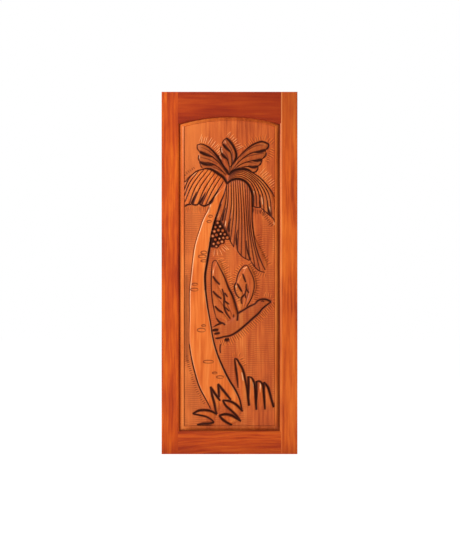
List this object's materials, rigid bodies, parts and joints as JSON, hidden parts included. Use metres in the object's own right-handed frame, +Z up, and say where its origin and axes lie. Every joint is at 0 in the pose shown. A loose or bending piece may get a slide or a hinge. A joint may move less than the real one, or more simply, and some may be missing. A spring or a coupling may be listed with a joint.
{
  "type": "carved door",
  "caption": "Stile-and-rail door leaf with an arched top rail and one raised panel carved in low relief with a palm, a bird in flight and grass.",
  "frame": {"origin": "middle of the leaf's bottom edge, half way through its thickness", "axes": "+X across the leaf towards the lock side, -Y out of the carved front, +Z up along the height"},
  "size_m": [0.762, 0.0446, 2.032],
  "materials": {
    "hinge_stile_wood": "stained and lacquered",
    "lock_stile_wood": "stained and lacquered",
    "top_rail_wood": "stained and lacquered",
    "bottom_rail_wood": "stained and lacquered",
    "panel_wood": "carved, stained and lacquered",
    "dowel_wood": "bare"
  },
  "bodies": {
    "root": {"hinge_stile": "hinge_stile_wood", "lock_stile": "lock_stile_wood", "top_rail": "top_rail_wood", "bottom_rail": "bottom_rail_wood", "carved_panel": "panel_wood", "top_hinge_dowel_1": "dowel_wood", "top_hinge_dowel_2": "dowel_wood", "top_lock_dowel_1": "dowel_wood", "top_lock_dowel_2": "dowel_wood", "bottom_hinge_dowel_1": "dowel_wood", "bottom_hinge_dowel_2": "dowel_wood", "bottom_hinge_dowel_3": "dowel_wood", "bottom_lock_dowel_1": "dowel_wood", "bottom_lock_dowel_2": "dowel_wood", "bottom_lock_dowel_3": "dowel_wood"}
  },
  "joints": []
}
